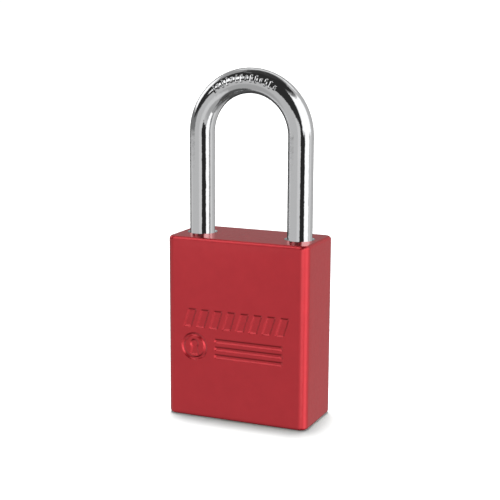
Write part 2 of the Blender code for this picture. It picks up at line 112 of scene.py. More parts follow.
# Pins: (radius, distance from the end) of a pointed nose, a broken edge and a spool's waist
PIN_Z0 = 4.6 * MM
PIN_PITCH = 3.8 * MM
PIN_BORE_R = 1.6 * MM
PIN_BORE_X0 = -0.9 * MM
SHEAR_GAP = 0.12 * MM
KEY_PIN_LENGTHS = (3.4 * MM, 4.4 * MM, 3.8 * MM, 4.8 * MM, 4.0 * MM)
DRIVER_PIN_LENGTH = 4.5 * MM
PIN_NOSE = ((0.45, 0.0), (0.6, 0.03), (0.72, 0.13), (1.3, 0.71), (1.38, 0.83), (1.4, 0.97))
PIN_EDGE = ((1.15, 0.0), (1.28, 0.03), (1.37, 0.12), (1.4, 0.25))
PIN_WAIST = ((1.4, 0.95), (1.32, 1.05), (1.12, 1.2), (1.1, 1.4))

# Actuator, tailpiece, clip, cover
PLUG_TURN = math.radians(90)
ACTUATOR_R = 5.9 * MM
ACTUATOR_Z0 = 28.9 * MM
CAM_HALF_H = 2.9 * MM
CAM_STEPS = 60
CAM_SIDES = 240
CAM_CHAMFER = 0.2 * MM
TAIL_Z = (26.2 * MM, 32.9 * MM)
TAIL_HOLE_R = 0.7 * MM
CLIP_R = (4.55 * MM, 6.3 * MM)
CLIP_Z = (26.15 * MM, 26.75 * MM)
CLIP_MOUTH = math.radians(70)
CLIP_EDGE = 0.12 * MM
CLIP_STEPS = 90
COVER_T = 0.5 * MM
COVER_HALF = 1.9 * MM
COVER_Z = (1.3 * MM, 21.9 * MM)
STAKE_R = 1.1 * MM
STAKE_DEPTH = 0.12 * MM

# Cylinder screw: (radius, height above the head's seat) of the head
SCREW_R = 1.35 * MM
SCREW_Z0 = 22.7 * MM
SCREW_HEAD = ((2.45, 0.0), (2.6, 0.15), (2.6, 1.45), (2.52, 1.68), (2.3, 1.8))
SCREW_SOCKET_R = 1.3 * MM
SCREW_SOCKET_DEPTH = 1.08 * MM
THREAD_PITCH = 0.6 * MM
THREAD_DEPTH = 0.22 * MM
THREAD_STEP = 0.06 * MM

# Springs: coil radius, wire radius, turns
SHACKLE_COIL = (2.28 * MM, 0.4 * MM, 7)
PIN_COIL = (1.08 * MM, 0.16 * MM, 5)
COIL_STEPS = 28
COIL_SIDES = 14

# Emblem, debossed in the front
MARK_DEPTH = 0.38 * MM
MARK_WALL = 0.6 * MM
BAR_COUNT = 8
BAR_W = 2.0 * MM
BAR_H = 4.5 * MM
BAR_SLANT = 1.4 * MM
BAR_PITCH = 3.6 * MM
BAR_ROW_Z = 26.1 * MM
BADGE_X = -11.4 * MM
BADGE_Z = 18.7 * MM
BADGE_R = 3.4 * MM
BADGE_RING = 0.6 * MM
KEYHOLE_EYE_R = 1.02 * MM
KEYHOLE_SKIRT_HALF = 1.12 * MM
KEYHOLE_SKIRT_DROP = 2.1 * MM
KEYHOLE_EYE_LIFT = 0.7
KEYHOLE_SKIRT_TOP = 0.45
MARK_CORNER = 0.15 * MM
RULE_X = (-5.6 * MM, 12.6 * MM)
RULE_H = 0.8 * MM
RULE_PITCH = 2.0 * MM

# Shackle
WIRE_R = 3.175 * MM
LEG_TIP = 0.7 * MM
LEG_TIP_SCALE = 0.8
WIRE_SIDES = 144
LEG_STEP = 1.2 * MM
CROWN_STEP = math.radians(2.2)
TOE_DEPTH = 10.6 * MM
TICK_MARGIN = math.radians(5.7)
TICK_COUNT = 14
TICK_SPAN = (math.radians(-38), math.radians(32))
TICK_MIDDLE = math.radians(13)
TICK_HALF = math.radians(17)
TICK_SHORT = 0.55
TICK_W = 0.52 * MM
TICK_WALL = 0.22 * MM
TICK_DEPTH = 0.16 * MM
TICK_STEPS = 220

# Locking balls and the space that they sweep in the legs
BALL_R = 2.778 * MM
BALL_Z = 41.1 * MM
BALL_BITE = 1.4 * MM
BALL_GAP = 0.15 * MM
BALL_X = LEG_X - WIRE_R + BALL_BITE - BALL_R
TOE_BALL_TRAVEL = 3.6 * MM
HEEL_BALL_TRAVEL = 0.9 * MM
LIFT = 10.9 * MM

ROUND_SIDES = 96
SMALL_SIDES = 48
BALL_SIDES = (64, 40)
SWEEP_SIDES = (64, 48)
CUT_PAST = 1.0 * MM
MERGE = 0.000001
SHARP = math.radians(32)

# Small parts' metals: dark and light colour, roughness range, grain's cycles a metre and stretch, bump in mm
METALS = {
    "turned_brass": ((0.62, 0.43, 0.17), (0.8, 0.6, 0.29), (0.2, 0.36), 2600, (0.5, 0.5, 3.0), 0.02),
    "milled_brass": ((0.55, 0.38, 0.15), (0.74, 0.54, 0.25), (0.26, 0.44), 1900, (1.0, 1.0, 2.4), 0.03),
    "rolled_brass": ((0.6, 0.42, 0.17), (0.76, 0.57, 0.27), (0.24, 0.4), 1700, (1.0, 1.0, 0.2), 0.02),
    "pin_brass": ((0.66, 0.45, 0.17), (0.84, 0.62, 0.28), (0.14, 0.28), 3200, (3.0, 0.6, 0.6), 0.01),
    "pin_steel": ((0.46, 0.47, 0.48), (0.66, 0.67, 0.69), (0.16, 0.3), 3200, (3.0, 0.6, 0.6), 0.01),
    "spring_wire": ((0.42, 0.43, 0.45), (0.62, 0.63, 0.65), (0.18, 0.34), 2400, (1.0, 1.0, 1.0), 0.01),
    "ground_steel": ((0.66, 0.67, 0.7), (0.78, 0.79, 0.81), (0.06, 0.14), 2200, (1.0, 1.0, 1.0), 0.006),
    "cast_zinc": ((0.44, 0.44, 0.43), (0.6, 0.59, 0.57), (0.34, 0.52), 1500, (1.0, 1.0, 1.0), 0.04),
    "stamped_steel": ((0.4, 0.41, 0.42), (0.56, 0.57, 0.58), (0.24, 0.4), 1800, (1.0, 0.4, 1.0), 0.02),
    "blued_steel": ((0.12, 0.13, 0.16), (0.24, 0.25, 0.3), (0.22, 0.38), 1800, (1.0, 1.0, 0.4), 0.02),
    "plated_steel": ((0.55, 0.56, 0.55), (0.7, 0.7, 0.68), (0.2, 0.34), 2000, (1.0, 1.0, 1.0), 0.02),
}

# Floor and the white behind the lock
FLOOR_HALF = 3.0
FLOOR_DROP = 0.02 * MM
FLOOR_WHITE = (0.86, 0.86, 0.86)
BACKDROP = 1.05

# Studio cards: azimuth range, elevation range, brightness, softness of the edges; later ones lie on top
ROOM_LEVEL = 0.3
STUDIO_CARDS = {
    "low_room": ((-180, 180), (-95, -58), 0.08, 14),
    "zenith": ((-180, 180), (62, 96), 0.04, 8),
    "left_panel": ((-132, 36), (-60, 5), 0.48, 4),
    "left_low": ((-136, 36), (-62, -26), 0.36, 12),
    "panel_rim": ((-30, -2), (-58, 4), 0.6, 14),
    "panel_end": ((-128, -102), (-58, 4), 0.54, 10),
    "left_rear": ((-200, -130), (-60, 4), 0.05, 8),
    "left_shade": ((-150, -72), (-5, 8), 0.18, 5),
    "right_wall": ((92, 150), (-46, 46), 0.46, 10),
    "right_near": ((80, 106), (-46, 46), 0.62, 8),
    "rear_low": ((150, 222), (-60, -3), 0.06, 6),
    "right_ceiling": ((84, 200), (44, 60), 0.45, 8),
    "rear_softbox": ((118, 205), (38, 52), 0.8, 5),
    "left_strip": ((-148, -108), (9, 34), 1.1, 6),
    "upper_left": ((-112, -56), (24, 66), 0.15, 8),
    "dark_wedge": ((-106, 14), (4, 62), 0.025, 4),
    "front_ceiling": ((-70, 84), (52, 78), 0.025, 8),
    "camera_side": ((-5, 35), (-17, 8), 0.02, 3),
    "high_softbox": ((17, 98), (-1, 46), 1.08, 7),
    "low_softbox": ((35, 77), (-42, 2), 1.1, 6),
    "key_softbox": ((-76, -50), (15, 33), 1.2, 4),
}

# Soft overhead light, and lamps for the block alone: azimuth, elevation, reach, size, power
OVERHEAD_ANGLE = math.radians(16)
OVERHEAD_STRENGTH = 4.4
OVERHEAD_PLACE = (190, 83.5)
BODY_LIGHTS = {
    "front_lamp": (-62, 58, 0.16, 0.12, 0.034),
    "front_glow": (-52, 12, 0.2, 0.12, 0.008),
    "corner_lamp": (10, 0, 0.5, 0.42, 0.42),
}

ALONG_X = Matrix.Rotation(math.radians(90), 4, "Y")

BODY_LOW, BODY_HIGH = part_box("padlock_body")
SHACKLE_LOW, SHACKLE_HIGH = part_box("shackle")


# ---------------------------------------------------------------- camera, floor, light

def make_camera():
    """The camera stands right of the front and a little above the lock."""
    forward = Vector((
        -math.sin(CAMERA_YAW) * math.cos(CAMERA_PITCH),
        math.cos(CAMERA_YAW) * math.cos(CAMERA_PITCH),
        -math.sin(CAMERA_PITCH),
    ))
    right = Vector((math.cos(CAMERA_YAW), math.sin(CAMERA_YAW), 0.0))
    up = right.cross(forward)
    across = right * math.cos(CAMERA_ROLL) + up * math.sin(CAMERA_ROLL)
    upward = -right * math.sin(CAMERA_ROLL) + up * math.cos(CAMERA_ROLL)
    turn = Matrix((across, upward, -forward)).transposed().to_4x4()
    data = bpy.data.cameras.new("camera")
    data.lens = CAMERA_LENS
    data.sensor_width = CAMERA_SENSOR
    data.clip_start = 0.01
    camera = bpy.data.objects.new("camera", data)
    bpy.context.scene.collection.objects.link(camera)
    camera.matrix_world = Matrix.Translation(CAMERA_PLACE) @ turn
    bpy.context.scene.camera = camera


def make_floor():
    """A plain white floor. Mirrors look past it to the studio's cards."""
    bm = bmesh.new()
    bmesh.ops.create_grid(bm, x_segments=1, y_segments=1, size=FLOOR_HALF)
    floor = add_object("floor", mesh_from(bm, "floor"))
    floor.location.z = BODY_LOW.z - FLOOR_DROP
    floor.visible_glossy = False
    material, tree, shader = new_material("floor_white", FLOOR_WHITE, 0.0, 0.9)
    shader.inputs["Specular IOR Level"].default_value = 0.0
    floor.data.materials.append(material)


def studio_direction(azimuth, elevation):
    """Unit vector from the lock towards a studio azimuth and elevation, in degrees."""
    turn = CAMERA_YAW + math.radians(azimuth)
    rise = math.radians(elevation)
    return Vector((math.sin(turn) * math.cos(rise), -math.cos(turn) * math.cos(rise), math.sin(rise)))


def aim(light, away):
    """Point a light back along the direction that it stands in."""
    light.rotation_mode = "QUATERNION"
    light.rotation_quaternion = (-away).to_track_quat("-Z", "Y")
    light.visible_camera = False


def make_sun():
    """Soft light from overhead, which leaves the narrow shadow round the lock's base."""
    data = bpy.data.lights.new("overhead", "SUN")
    data.angle = OVERHEAD_ANGLE
    data.energy = OVERHEAD_STRENGTH
    sun = add_object("overhead", data)
    sun.visible_glossy = False
    aim(sun, studio_direction(*OVERHEAD_PLACE))


def make_body_lights(body):
    """Soft lamps that are flagged off the shackle and shape only the block's front and corner."""
    receivers = bpy.data.collections.new("block_only")
    receivers.objects.link(body)
    for name, (azimuth, elevation, reach, size, power) in BODY_LIGHTS.items():
        data = bpy.data.lights.new(name, "AREA")
        data.shape = "DISK"
        data.size = size
        data.energy = power
        light = add_object(name, data)
        away = studio_direction(azimuth, elevation)
        light.location = Vector((0.0, 0.0, BODY_HIGH.z / 2)) + away * reach
        aim(light, away)
        light.light_linking.receiver_collection = receivers


def card_mask(tree, direction, elevation, azimuths, elevations, soft):
    """1 on a card and 0 beside it, from the direction that a ray leaves in."""
    new, link = tree.nodes.new, tree.links.new
    middle = CAMERA_YAW + math.radians(sum(azimuths) / 2)
    ahead = (math.sin(middle), -math.cos(middle), 0.0)
    side = (math.cos(middle), math.sin(middle), 0.0)
    parts = []
    for axis in (side, ahead):
        dot = new("ShaderNodeVectorMath")
        dot.operation = "DOT_PRODUCT"
        dot.inputs[1].default_value = axis
        link(direction, dot.inputs[0])
        parts.append(dot.outputs["Value"])
    angle = math_node(tree, "ABSOLUTE", math_node(tree, "ARCTAN2", *parts))
    half = math.radians(azimuths[1] - azimuths[0]) / 2
    across = ramp_down(tree, angle, half, math.radians(soft))
    rise = math_node(tree, "SUBTRACT", elevation, math.radians(sum(elevations) / 2))
    half_rise = math.radians(elevations[1] - elevations[0]) / 2
    upward = ramp_down(tree, math_node(tree, "ABSOLUTE", rise), half_rise, math.radians(soft))
    return math_node(tree, "MULTIPLY", across, upward)


def ramp_down(tree, value, edge, soft):
    """1 below the edge and 0 above it, with a smooth step between."""
    step = tree.nodes.new("ShaderNodeMapRange")
    step.interpolation_type = "SMOOTHSTEP"
    step.inputs["From Min"].default_value = edge + soft / 2
    step.inputs["From Max"].default_value = edge - soft / 2
    tree.links.new(value, step.inputs["Value"])
    return step.outputs["Result"]


def math_node(tree, operation, *values):
    """A Math node on sockets or plain numbers; gives its output socket."""
    node = tree.nodes.new("ShaderNodeMath")
    node.operation = operation
    for place, value in zip(node.inputs, values):
        if isinstance(value, (int, float)):
            place.default_value = value
        else:
            tree.links.new(value, place)
    return node.outputs[0]


def make_studio():
    """White behind the lock, and soft cards round it for the metal to mirror."""
    world = bpy.data.worlds.new("studio")
    world.use_nodes = True
    bpy.context.scene.world = world
    tree = world.node_tree
    place = tree.nodes.new("ShaderNodeTexCoord")
    split = tree.nodes.new("ShaderNodeSeparateXYZ")
    tree.links.new(place.outputs["Generated"], split.inputs[0])
    elevation = math_node(tree, "ARCSINE", split.outputs["Z"])
    level = ROOM_LEVEL
    for azimuths, elevations, brightness, soft in STUDIO_CARDS.values():
        mask = card_mask(tree, place.outputs["Generated"], elevation, azimuths, elevations, soft)
        mix = tree.nodes.new("ShaderNodeMix")
        mix.data_type = "FLOAT"
        tree.links.new(mask, mix.inputs["Factor"])
        if isinstance(level, float):
            mix.inputs["A"].default_value = level
        else:
            tree.links.new(level, mix.inputs["A"])
        mix.inputs["B"].default_value = brightness
        level = mix.outputs["Result"]
    cards = tree.nodes["Background"]
    tree.links.new(level, cards.inputs["Strength"])
    cards.inputs["Color"].default_value = (1.0, 1.0, 1.0, 1.0)
    white = tree.nodes.new("ShaderNodeBackground")
    white.inputs["Color"].default_value = (1.0, 1.0, 1.0, 1.0)
    white.inputs["Strength"].default_value = BACKDROP
    seen = tree.nodes.new("ShaderNodeLightPath")
    choose = tree.nodes.new("ShaderNodeMixShader")
    tree.links.new(seen.outputs["Is Camera Ray"], choose.inputs["Fac"])
    tree.links.new(cards.outputs[0], choose.inputs[1])
    tree.links.new(white.outputs[0], choose.inputs[2])
    tree.links.new(choose.outputs[0], tree.nodes["World Output"].inputs["Surface"])
    bpy.context.scene.view_settings.view_transform = "Standard"
    bpy.context.scene.view_settings.look = "None"


# ---------------------------------------------------------------- objects and meshes

def add_object(name, data):
    obj = bpy.data.objects.new(name, data)
    bpy.context.scene.collection.objects.link(obj)
    return obj


def mesh_from(bm, name):
    mesh = bpy.data.meshes.new(name)
    bm.to_mesh(mesh)
    bm.free()
    return mesh


def rod(radius, low, high, centre=(0.0, 0.0), sides=ROUND_SIDES, turn=None, top_radius=None):
    """A cylinder or cone along Z from low to high; turn lays it along another axis."""
    bm = bmesh.new()
    bmesh.ops.create_cone(
        bm,
        cap_ends=True,
        segments=sides,
        radius1=radius,
        radius2=radius if top_radius is None else top_radius,
        depth=high - low,
        matrix=Matrix.Translation((centre[0], centre[1], (low + high) / 2)),
    )
    if turn is not None:
        bmesh.ops.transform(bm, matrix=turn, verts=bm.verts)
    return mesh_from(bm, "rod")


def block(low, high):
    """A box between two corners."""
    size = Vector(high) - Vector(low)
    centre = (Vector(high) + Vector(low)) / 2
    bm = bmesh.new()
    bmesh.ops.create_cube(bm, size=1.0, matrix=Matrix.Translation(centre) @ Matrix.Diagonal((*size, 1.0)))
    return mesh_from(bm, "block")


def lofted(rings, name):
    """A closed mesh through rings of points, each ring an (n, 3) array, capped at both ends."""
    count = len(rings[0])
    points = np.concatenate(rings)
    faces = []
    for row in range(len(rings) - 1):
        for i in range(count):
            j = (i + 1) % count
            faces.append((row * count + i, row * count + j, (row + 1) * count + j, (row + 1) * count + i))
    faces.append(tuple(reversed(range(count))))
    faces.append(tuple(range(len(points) - count, len(points))))
    mesh = bpy.data.meshes.new(name)
    mesh.from_pydata(points.tolist(), [], faces)
    return mesh


def cut(obj, mesh, material_index=0, operation="DIFFERENCE"):
    """Cut a piece with a closed mesh, whose faces bring their own material index."""
    for material in obj.data.materials:
        mesh.materials.append(material)
    for face in mesh.polygons:
        face.material_index = material_index
    cutter = add_object("cutter", mesh)
    boolean = obj.modifiers.new("cut", "BOOLEAN")
    boolean.operation = operation
    boolean.object = cutter
    boolean.material_mode = "INDEX"
    return cutter


def settle(obj):
    """Apply the piece's modifiers, remove its cutters, and shade it by its true form."""
    bpy.context.view_layer.update()
    evaluated = obj.evaluated_get(bpy.context.evaluated_depsgraph_get())
    mesh = bpy.data.meshes.new_from_object(evaluated)
    cutters = [m.object for m in obj.modifiers if m.type == "BOOLEAN"]
    obj.modifiers.clear()
    obj.data = mesh
    for cutter in cutters:
        bpy.data.objects.remove(cutter, do_unlink=True)
    mesh.shade_smooth()
    mesh.set_sharp_from_angle(angle=SHARP)
    weighted = obj.modifiers.new("shading", "WEIGHTED_NORMAL")
    weighted.weight = 80
    weighted.keep_sharp = True
    return obj


def even_steps(low, high, step):
    """Places from low up to, but not including, high, about a step apart."""
    count = max(1, round((high - low) / step))
    return [low + (high - low) * i / count for i in range(count)]


# ---------------------------------------------------------------- materials

def new_material(name, colour, metallic, roughness):
    material = bpy.data.materials.new(name)
    material.use_nodes = True
    tree = material.node_tree
    shader = tree.nodes["Principled BSDF"]
    shader.inputs["Base Color"].default_value = (*colour, 1.0)
    shader.inputs["Metallic"].default_value = metallic
    shader.inputs["Roughness"].default_value = roughness
    return material, tree, shader


def object_noise(tree, scale, detail=2.0, stretch=(1.0, 1.0, 1.0)):
    """Noise in the piece's own space; scale is in cycles a metre."""
    place = tree.nodes.new("ShaderNodeTexCoord")
    mapping = tree.nodes.new("ShaderNodeMapping")
    mapping.inputs["Scale"].default_value = stretch
    noise = tree.nodes.new("ShaderNodeTexNoise")
    noise.inputs["Scale"].default_value = scale
    noise.inputs["Detail"].default_value = detail
    tree.links.new(place.outputs["Object"], mapping.inputs["Vector"])
    tree.links.new(mapping.outputs["Vector"], noise.inputs["Vector"])
    return noise.outputs["Fac"]


def vary_colour(tree, shader, factor, dark, light):
    ramp = tree.nodes.new("ShaderNodeMix")
    ramp.data_type = "RGBA"
    ramp.inputs["A"].default_value = (*dark, 1.0)
    ramp.inputs["B"].default_value = (*light, 1.0)
    tree.links.new(factor, ramp.inputs["Factor"])
    tree.links.new(ramp.outputs["Result"], shader.inputs["Base Color"])


def vary_roughness(tree, shader, factor, low, high):
    step = tree.nodes.new("ShaderNodeMapRange")
    step.inputs["From Min"].default_value = 0.3
    step.inputs["From Max"].default_value = 0.7
    step.inputs["To Min"].default_value = low
    step.inputs["To Max"].default_value = high
    tree.links.new(factor, step.inputs["Value"])
    tree.links.new(step.outputs["Result"], shader.inputs["Roughness"])


def add_bump(tree, shader, height, distance, strength, below=None):
    bump = tree.nodes.new("ShaderNodeBump")
    bump.inputs["Distance"].default_value = distance
    bump.inputs["Strength"].default_value = strength
    tree.links.new(height, bump.inputs["Height"])
    if below is not None:
        tree.links.new(below, bump.inputs["Normal"])
    tree.links.new(bump.outputs["Normal"], shader.inputs["Normal"])
    return bump.outputs["Normal"]


def red_anodised():
    """Dyed anodising over a fine blasted skin."""
    material, tree, shader = new_material("red_anodised", (0.93, 0.036, 0.052), 1.0, 0.38)
    cloud = object_noise(tree, 260.0, 3.0)
    vary_colour(tree, shader, cloud, (0.83, 0.031, 0.048), (0.93, 0.04, 0.058))
    vary_roughness(tree, shader, object_noise(tree, 900.0, 2.0), 0.35, 0.43)
    shader.inputs["Specular Tint"].default_value = (1.0, 0.3, 0.32, 1.0)
    shader.inputs["Coat Weight"].default_value = 1.0
    shader.inputs["Coat Roughness"].default_value = 0.22
    grain = add_bump(tree, shader, object_noise(tree, 9000.0, 1.0), 0.02 * MM, 0.25)
    add_bump(tree, shader, object_noise(tree, 700.0, 2.0), 0.03 * MM, 0.12, grain)
    return material


def bare_aluminium():
    """Drilled and countersunk after the colour: turned grooves round the bores."""
    material, tree, shader = new_material("bare_aluminium", (0.62, 0.66, 0.67), 1.0, 0.3)
    rings = object_noise(tree, 3000.0, 1.0, (0.2, 0.2, 3.0))
    vary_colour(tree, shader, rings, (0.5, 0.54, 0.55), (0.72, 0.76, 0.77))
    vary_roughness(tree, shader, rings, 0.22, 0.42)
    add_bump(tree, shader, rings, 0.03 * MM, 0.4)
    return material


def chrome():
    """Bright plating over a drawn bar, with faint waves and a few pinpricks."""
    material, tree, shader = new_material("bright_chrome", (0.93, 0.935, 0.945), 1.0, 0.05)
    vary_roughness(tree, shader, object_noise(tree, 400.0, 3.0), 0.035, 0.075)
    drawn = object_noise(tree, 1100.0, 2.0, (1.0, 1.0, 0.6))
    waves = add_bump(tree, shader, drawn, 0.04 * MM, 0.6)
    add_bump(tree, shader, object_noise(tree, 2600.0, 2.0), 0.01 * MM, 0.25, waves)
    return material


def small_metal(name):
    """A machined metal: grain in its colour and surface, and larger patches of duller finish."""
    dark, light, roughness, scale, stretch, depth = METALS[name]
    material, tree, shader = new_material(name, light, 1.0, roughness[0])
    grain = object_noise(tree, scale, 3.0, stretch)
    vary_colour(tree, shader, grain, dark, light)
    vary_roughness(tree, shader, object_noise(tree, scale / 3, 2.0), *roughness)
    add_bump(tree, shader, grain, depth * MM, 0.5)
    return material


# ---------------------------------------------------------------- body

def box_distance(x, z, centre_x, centre_z, half_x, half_z, corner):
    """Signed distance to a box with rounded corners, below 0 inside."""
    out_x = np.abs(x - centre_x) - half_x + corner
    out_z = np.abs(z - centre_z) - half_z + corner
    outside = np.hypot(np.maximum(out_x, 0.0), np.maximum(out_z, 0.0))
    return outside + np.minimum(np.maximum(out_x, out_z), 0.0) - corner


def bar_distance(x, z):
    """The row of slanted bars."""
    row_w = (BAR_COUNT - 1) * BAR_PITCH + BAR_W + BAR_SLANT
    leant = x - BAR_SLANT * (z - BAR_ROW_Z + BAR_H / 2) / BAR_H
    first = -row_w / 2 + BAR_W / 2
    nearest = np.clip(np.round((leant - first) / BAR_PITCH), 0, BAR_COUNT - 1)
    middle = first + nearest * BAR_PITCH
    return box_distance(leant, z, middle, BAR_ROW_Z, BAR_W / 2, BAR_H / 2, MARK_CORNER)


def badge_distance(x, z):
    """A ring round a keyhole."""
    reach = np.hypot(x - BADGE_X, z - BADGE_Z)
    ring = np.abs(reach - BADGE_R + BADGE_RING / 2) - BADGE_RING / 2
    eye_z = BADGE_Z + KEYHOLE_EYE_R * KEYHOLE_EYE_LIFT
    eye = np.hypot(x - BADGE_X, z - eye_z) - KEYHOLE_EYE_R
    fall = np.clip((eye_z - z) / (eye_z - BADGE_Z + KEYHOLE_SKIRT_DROP), 0.0, 1.0)
    half = KEYHOLE_SKIRT_HALF * (KEYHOLE_SKIRT_TOP + (1.0 - KEYHOLE_SKIRT_TOP) * fall)
    beyond = np.maximum(z - eye_z, BADGE_Z - KEYHOLE_SKIRT_DROP - z)
    skirt = np.maximum(np.abs(x - BADGE_X) - half, beyond)
    return np.minimum(ring, np.minimum(eye, skirt))


def rule_distance(x, z):
    """Three plain rules."""
    middle_x = sum(RULE_X) / 2
    half_x = (RULE_X[1] - RULE_X[0]) / 2
    row = np.clip(np.round((z - BADGE_Z) / RULE_PITCH), -1, 1)
    return box_distance(x, z, middle_x, BADGE_Z + row * RULE_PITCH, half_x, RULE_H / 2, MARK_CORNER)


def smooth_step(value):
    value = np.clip(value, 0.0, 1.0)
    return value * value * (3 - 2 * value)


def mark_depth(x, z):
    """How far the front is pressed in at each place."""
    distance = np.minimum(bar_distance(x, z), np.minimum(badge_distance(x, z), rule_distance(x, z)))
    return MARK_DEPTH * smooth_step(0.5 - distance / MARK_WALL)


def mark_span():
    """The emblem's lowest and highest x and z, with a margin."""
    half_row = ((BAR_COUNT - 1) * BAR_PITCH + BAR_W + BAR_SLANT) / 2
    low_x = min(-half_row, BADGE_X - BADGE_R) - FINE_MARGIN
    low_z = BADGE_Z - BADGE_R - FINE_MARGIN
    return low_x, half_row + FINE_MARGIN, low_z, BAR_ROW_Z + BAR_H / 2 + FINE_MARGIN


def body_outline():
    """Points and outward normals once round the block's plan, from the front's left end."""
    half_x = BODY_HIGH.x - EDGE_R
    half_y = BODY_HIGH.y - EDGE_R
    low_x, high_x, _, _ = mark_span()
    front = even_steps(-half_x, low_x, PLAIN_STEP)
    front += even_steps(low_x, high_x, FINE_STEP)
    front += even_steps(high_x, half_x, PLAIN_STEP)
    rows = [(x, -half_y - EDGE_R, 0.0, -1.0) for x in front]
    rows += corner_arc(half_x, -half_y, -90)
    rows += [(half_x + EDGE_R, y, 1.0, 0.0) for y in even_steps(-half_y, half_y, PLAIN_STEP)]
    rows += corner_arc(half_x, half_y, 0)
    rows += [(-x, half_y + EDGE_R, 0.0, 1.0) for x in even_steps(-half_x, half_x, PLAIN_STEP)]
    rows += corner_arc(-half_x, half_y, 90)
    rows += [(-half_x - EDGE_R, -y, -1.0, 0.0) for y in even_steps(-half_y, half_y, PLAIN_STEP)]
    rows += corner_arc(-half_x, -half_y, 180)
    return np.array(rows)


def corner_arc(x, y, start):
    """An upright edge's arc, without its last point."""
    rows = []
    for i in range(EDGE_STEPS):
        angle = math.radians(start + 90 * i / EDGE_STEPS)
        normal_x, normal_y = math.cos(angle), math.sin(angle)
        rows.append((x + EDGE_R * normal_x, y + EDGE_R * normal_y, normal_x, normal_y))
    return rows


def body_rows():
    """(inset, height) of each ring of the block, from the base's rim to the top's."""
    angles = [math.radians(90) * i / RIM_STEPS for i in range(RIM_STEPS + 1)]
    rim = [(RIM_R * (1 - math.sin(a)), RIM_R * (1 - math.cos(a))) for a in angles]
    _, _, low_z, high_z = mark_span()
    heights = even_steps(RIM_R, low_z, PLAIN_STEP)[1:]
    heights += even_steps(low_z, high_z, FINE_STEP)
    heights += even_steps(high_z, BODY_HIGH.z - RIM_R, PLAIN_STEP)
    top = [(inset, BODY_HIGH.z - height) for inset, height in reversed(rim)]
    return rim + [(0.0, z) for z in heights] + top


def body_skin():
    """The block's outside, with the emblem pressed in its front."""
    outline = body_outline()
    low_x, high_x, low_z, high_z = mark_span()
    x, y, normal_x, normal_y = outline.T
    rings = []
    for inset, z in body_rows():
        ring = np.stack([x - inset * normal_x, y - inset * normal_y, np.full_like(x, z)], axis=1)
        if low_z < z < high_z:
            front = (normal_y == -1.0) & (x > low_x) & (x < high_x)
            ring[front, 1] += mark_depth(x[front], np.full(front.sum(), z))
        rings.append(ring)
    return lofted(rings, "padlock_body_skin")


def bore_for_cylinder(body):
    """The cylinder's pocket from below, the clip's and actuator's bores above it, and the screw's hole."""
    half = HOUSING_HALF + POCKET_CLEAR
    cut(body, rod(SHELL_R + POCKET_CLEAR, -CUT_PAST, POCKET_Z), 1)
    cut(body, block((0.0, -half, -CUT_PAST), (HOUSING_END_X, half, POCKET_Z)), 1)
    cut(body, rod(half, -CUT_PAST, POCKET_Z, (HOUSING_END_X, 0.0)), 1)
    cut(body, rod(CLIP_BORE_R, POCKET_Z - CUT_PAST, CLIP_BORE_Z), 1)
    cut(body, rod(ACTUATOR_BORE_R, POCKET_Z, ACTUATOR_BORE_Z), 1)
    cut(body, rod(SCREW_HOLE_R, POCKET_Z - CUT_PAST, TOE_HOLE_Z + CUT_PAST, (LEG_X, 0.0)), 1)


def bore_for_shackle(body):
    """The leg holes, countersunk at the top, and the cross hole for the balls."""
    cross_x = LEG_X - WIRE_R / 2
    cut(body, rod(CROSS_HOLE_R, -cross_x, cross_x, (-BALL_Z, 0.0), turn=ALONG_X), 1)
    top = BODY_HIGH.z
    lead_r = LEG_HOLE_R + 2 * LEG_HOLE_LEAD
    for x, low in ((-LEG_X, HEEL_HOLE_Z), (LEG_X, TOE_HOLE_Z)):
        cut(body, rod(LEG_HOLE_R, low, top + CUT_PAST, (x, 0.0)), 1)
        lead = rod(LEG_HOLE_R, top - LEG_HOLE_LEAD, top + LEG_HOLE_LEAD, (x, 0.0), top_radius=lead_r)
        cut(body, lead, 1)


def make_body():
    """The block with its emblem, bored for the shackle, balls, actuator and cylinder."""
    body = add_object("body_block", body_skin())
    body.data.materials.append(red_anodised())
    body.data.materials.append(bare_aluminium())
    bore_for_cylinder(body)
    bore_for_shackle(body)
    settle(body)
    body.visible_diffuse = False
    body.visible_glossy = False
    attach(body, "casing")
    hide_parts("padlock_body")
    return body


# ---------------------------------------------------------------- shackle

def tick_depth(along, around, radius):
    """Depth of the stamped ticks, from the crown's angle and the bar's own angle."""
    pitch = (TICK_SPAN[1] - TICK_SPAN[0]) / (TICK_COUNT - 1)
    index = np.clip(np.round((along - TICK_SPAN[0]) / pitch), 0, TICK_COUNT - 1)
    across = np.abs(along - TICK_SPAN[0] - index * pitch) * radius - TICK_W / 2
    half = TICK_HALF * np.where(index % 3 == 1, TICK_SHORT, 1.0)
    rise = (np.abs(around - TICK_MIDDLE) - half) * WIRE_R
    return TICK_DEPTH * smooth_step(0.5 - np.maximum(across, rise) / TICK_WALL)


